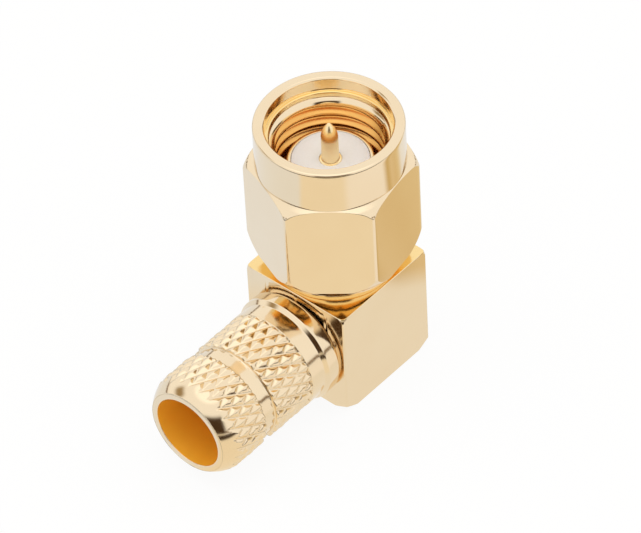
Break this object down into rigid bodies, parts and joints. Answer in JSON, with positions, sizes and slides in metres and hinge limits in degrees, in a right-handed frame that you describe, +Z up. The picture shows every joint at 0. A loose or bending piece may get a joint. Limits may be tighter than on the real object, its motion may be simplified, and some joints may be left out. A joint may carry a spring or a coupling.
{
  "type": "right-angle coaxial plug connector",
  "caption": "Right-angle threaded coaxial plug: square gold-plated block, hexagon coupling nut with centre pin, knurled crimp stem for a cable.",
  "frame": {"origin": "middle of the body block's flat base, opposite the mating interface", "axes": "+Z up the interface axis, the way the mating jack leaves; -Y along the crimp stem, the way the cable leaves; +X to the right seen from the stem"},
  "size_m": [0.0086, 0.0166, 0.0167],
  "materials": {
    "gold_plated_brass": "polished gold plating over turned and milled brass",
    "gold_plated_nut": "polished gold plating over turned brass",
    "gold_plated_contact": "bright gold plating over turned brass",
    "spring_bronze": "plain spring wire, flattened",
    "white_ptfe": "turned, waxy white",
    "silicone": "soft moulded"
  },
  "bodies": {
    "plug_body": {"right_angle_body": "gold_plated_brass", "access_cap": "gold_plated_brass", "cap_insulator": "white_ptfe", "front_shell": "gold_plated_brass", "nut_gasket": "silicone", "front_dielectric": "white_ptfe", "centre_contact": "gold_plated_contact", "crimp_stem": "gold_plated_brass"},
    "snap_ring": {"retaining_ring": "spring_bronze"},
    "nut": {"coupling_nut": "gold_plated_nut"}
  },
  "joints": [
    {"name": "nut_float", "type": "slide", "parent": "plug_body", "child": "snap_ring", "axis": [0, 0, 1], "range_m": [0, 0.0003]},
    {"name": "nut_spin", "type": "hinge", "parent": "snap_ring", "child": "nut", "pos_m": [0, 0, 0.0125], "axis": [0, 0, 1], "continuous": true}
  ]
}
